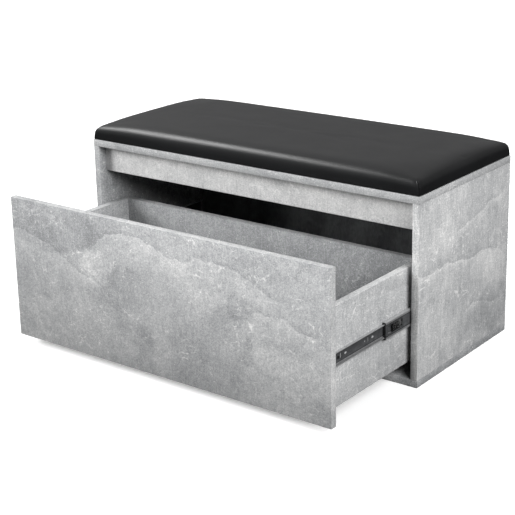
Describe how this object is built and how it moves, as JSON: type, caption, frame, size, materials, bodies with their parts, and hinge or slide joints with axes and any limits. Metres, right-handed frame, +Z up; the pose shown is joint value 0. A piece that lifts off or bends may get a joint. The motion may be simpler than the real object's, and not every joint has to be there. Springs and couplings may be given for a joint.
{
  "type": "storage bench",
  "caption": "Low entryway bench: a melamine board box with a padded faux-leather seat and one wide handle-less drawer on full-extension ball-bearing slides.",
  "frame": {"origin": "on the floor, at the centre of the carcass's footprint", "axes": "+Z up, -Y out of the bench's front (the way the drawer opens), +X to the right of a person facing the bench's front"},
  "size_m": [0.9, 0.685, 0.456],
  "materials": {
    "concrete_board": "matte",
    "hardboard": "matte",
    "faux_leather": "satin",
    "foam": "matte",
    "fibreboard": "matte",
    "slide_steel": "satin",
    "screw_steel": "satin",
    "cam_alloy": "satin",
    "black_plastic": "satin"
  },
  "bodies": {
    "carcass": {"back_panel": "hardboard", "bottom_confirmat_left_back": "screw_steel", "bottom_confirmat_left_front": "screw_steel", "bottom_confirmat_right_back": "screw_steel", "bottom_confirmat_right_front": "screw_steel", "bottom_panel": "concrete_board", "cabinet_member_left": "slide_steel", "cabinet_member_right": "slide_steel", "cabinet_slide_screw_left_front": "screw_steel", "cabinet_slide_screw_left_rear": "screw_steel", "cabinet_slide_screw_right_front": "screw_steel", "cabinet_slide_screw_right_rear": "screw_steel", "front_rail": "concrete_board", "rail_cam_left": "cam_alloy", "rail_cam_right": "cam_alloy", "seat_base": "fibreboard", "seat_cover": "faux_leather", "seat_foam": "foam", "seat_screw_left_back": "screw_steel", "seat_screw_left_front": "screw_steel", "seat_screw_right_back": "screw_steel", "seat_screw_right_front": "screw_steel", "side_panel_left": "concrete_board", "side_panel_right": "concrete_board", "top_cam_left_back": "cam_alloy", "top_cam_left_front": "cam_alloy", "top_cam_right_back": "cam_alloy", "top_cam_right_front": "cam_alloy", "top_panel": "concrete_board"},
    "drawer": {"drawer_back": "concrete_board", "drawer_bottom": "hardboard", "drawer_cam_left_lower": "cam_alloy", "drawer_cam_left_upper": "cam_alloy", "drawer_cam_right_lower": "cam_alloy", "drawer_cam_right_upper": "cam_alloy", "drawer_confirmat_left_lower": "screw_steel", "drawer_confirmat_left_upper": "screw_steel", "drawer_confirmat_right_lower": "screw_steel", "drawer_confirmat_right_upper": "screw_steel", "drawer_front": "concrete_board", "drawer_member_left": "slide_steel", "drawer_member_right": "slide_steel", "drawer_side_left": "concrete_board", "drawer_side_right": "concrete_board", "drawer_slide_screw_left_front": "screw_steel", "drawer_slide_screw_left_rear": "screw_steel", "drawer_slide_screw_right_front": "screw_steel", "drawer_slide_screw_right_rear": "screw_steel", "release_lever_left": "black_plastic", "release_lever_right": "black_plastic"},
    "middle_left": {"middle_member_left": "slide_steel", "middle_end_stop_left": "black_plastic"},
    "outer_cage_left": {"outer_ball_cage_left": "slide_steel"},
    "inner_cage_left": {"inner_ball_cage_left": "slide_steel"},
    "middle_right": {"middle_member_right": "slide_steel", "middle_end_stop_right": "black_plastic"},
    "outer_cage_right": {"outer_ball_cage_right": "slide_steel"},
    "inner_cage_right": {"inner_ball_cage_right": "slide_steel"}
  },
  "joints": [
    {"name": "drawer_slide", "type": "slide", "parent": "carcass", "child": "drawer", "axis": [0, -1, 0], "range_m": [-0.29, 0.06]},
    {"name": "middle_left_slide", "type": "slide", "parent": "carcass", "child": "middle_left", "axis": [0, -1, 0], "range_m": [-0.145, 0.03]},
    {"name": "outer_cage_left_slide", "type": "slide", "parent": "carcass", "child": "outer_cage_left", "axis": [0, -1, 0], "range_m": [-0.0725, 0.015]},
    {"name": "inner_cage_left_slide", "type": "slide", "parent": "carcass", "child": "inner_cage_left", "axis": [0, -1, 0], "range_m": [-0.2175, 0.045]},
    {"name": "middle_right_slide", "type": "slide", "parent": "carcass", "child": "middle_right", "axis": [0, -1, 0], "range_m": [-0.145, 0.03]},
    {"name": "outer_cage_right_slide", "type": "slide", "parent": "carcass", "child": "outer_cage_right", "axis": [0, -1, 0], "range_m": [-0.0725, 0.015]},
    {"name": "inner_cage_right_slide", "type": "slide", "parent": "carcass", "child": "inner_cage_right", "axis": [0, -1, 0], "range_m": [-0.2175, 0.045]}
  ],
  "couplings": [
    {"joint": "middle_left_slide", "follows": "drawer_slide", "ratio": 0.5},
    {"joint": "outer_cage_left_slide", "follows": "drawer_slide", "ratio": 0.25},
    {"joint": "inner_cage_left_slide", "follows": "drawer_slide", "ratio": 0.75},
    {"joint": "middle_right_slide", "follows": "drawer_slide", "ratio": 0.5},
    {"joint": "outer_cage_right_slide", "follows": "drawer_slide", "ratio": 0.25},
    {"joint": "inner_cage_right_slide", "follows": "drawer_slide", "ratio": 0.75}
  ]
}
